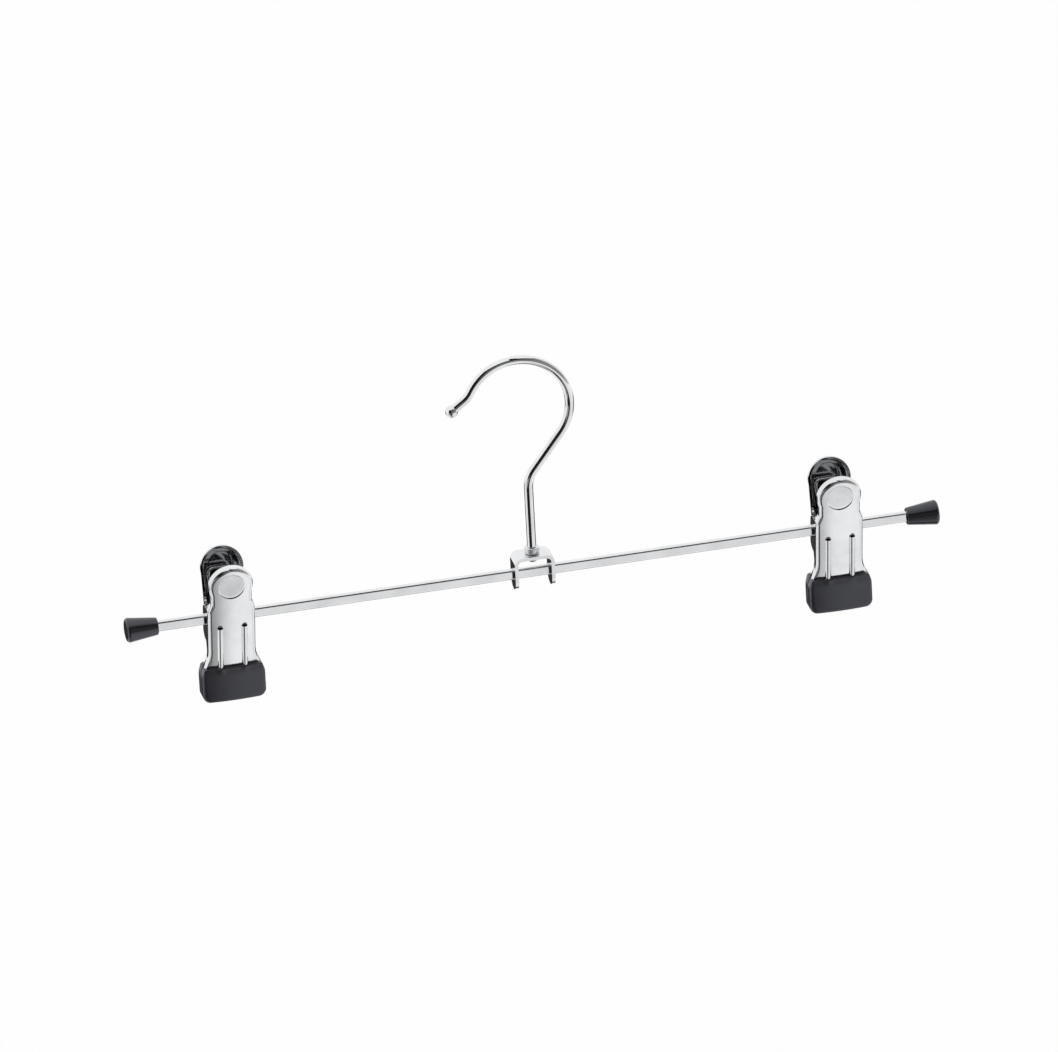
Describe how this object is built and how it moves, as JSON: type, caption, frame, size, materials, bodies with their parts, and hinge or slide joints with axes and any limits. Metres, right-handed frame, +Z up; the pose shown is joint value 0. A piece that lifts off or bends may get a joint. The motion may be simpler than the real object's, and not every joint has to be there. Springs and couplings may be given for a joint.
{
  "type": "skirt hanger",
  "caption": "Chromed skirt hanger: swivel wire hook on a flat bar with capped ends and sliding spring clips in soft boots.",
  "frame": {"origin": "inner side of the hook's crown, where the rail carries the hanger", "axes": "+X along the bar to the right of a viewer, -Y towards the viewer, +Z up"},
  "size_m": [0.31, 0.0215, 0.1217],
  "materials": {
    "chrome": "bright plated steel",
    "black_pvc": "satin soft PVC",
    "spring_steel": "drawn wire"
  },
  "bodies": {
    "hook": {"hook": "chrome"},
    "frame": {"bar": "chrome", "saddle": "chrome", "left_end_cap": "black_pvc", "right_end_cap": "black_pvc"},
    "left_clip": {"left_back_jaw": "chrome", "left_back_boot": "black_pvc", "left_spring": "spring_steel"},
    "left_lever": {"left_front_jaw": "chrome", "left_front_boot": "black_pvc"},
    "right_clip": {"right_back_jaw": "chrome", "right_back_boot": "black_pvc", "right_spring": "spring_steel"},
    "right_lever": {"right_front_jaw": "chrome", "right_front_boot": "black_pvc"}
  },
  "joints": [
    {"name": "hook_swivel", "type": "hinge", "parent": "hook", "child": "frame", "pos_m": [0, 0, -0.0775], "axis": [0, 0, 1], "continuous": true},
    {"name": "left_clip_slide", "type": "slide", "parent": "frame", "child": "left_clip", "axis": [1, 0, 0], "range_m": [-0.0175, 0.0985]},
    {"name": "left_clip_open", "type": "hinge", "parent": "left_clip", "child": "left_lever", "pos_m": [-0.116, 0, -0.0851], "axis": [-1, 0, 0], "range_deg": [0, 30], "stiffness_Nm_per_rad": 0.06, "springref_deg": -20.05, "deforming": ["left_spring"]},
    {"name": "right_clip_slide", "type": "slide", "parent": "frame", "child": "right_clip", "axis": [-1, 0, 0], "range_m": [-0.0175, 0.0985]},
    {"name": "right_clip_open", "type": "hinge", "parent": "right_clip", "child": "right_lever", "pos_m": [0.116, 0, -0.0851], "axis": [-1, 0, 0], "range_deg": [0, 30], "stiffness_Nm_per_rad": 0.06, "springref_deg": -20.05, "deforming": ["right_spring"]}
  ]
}
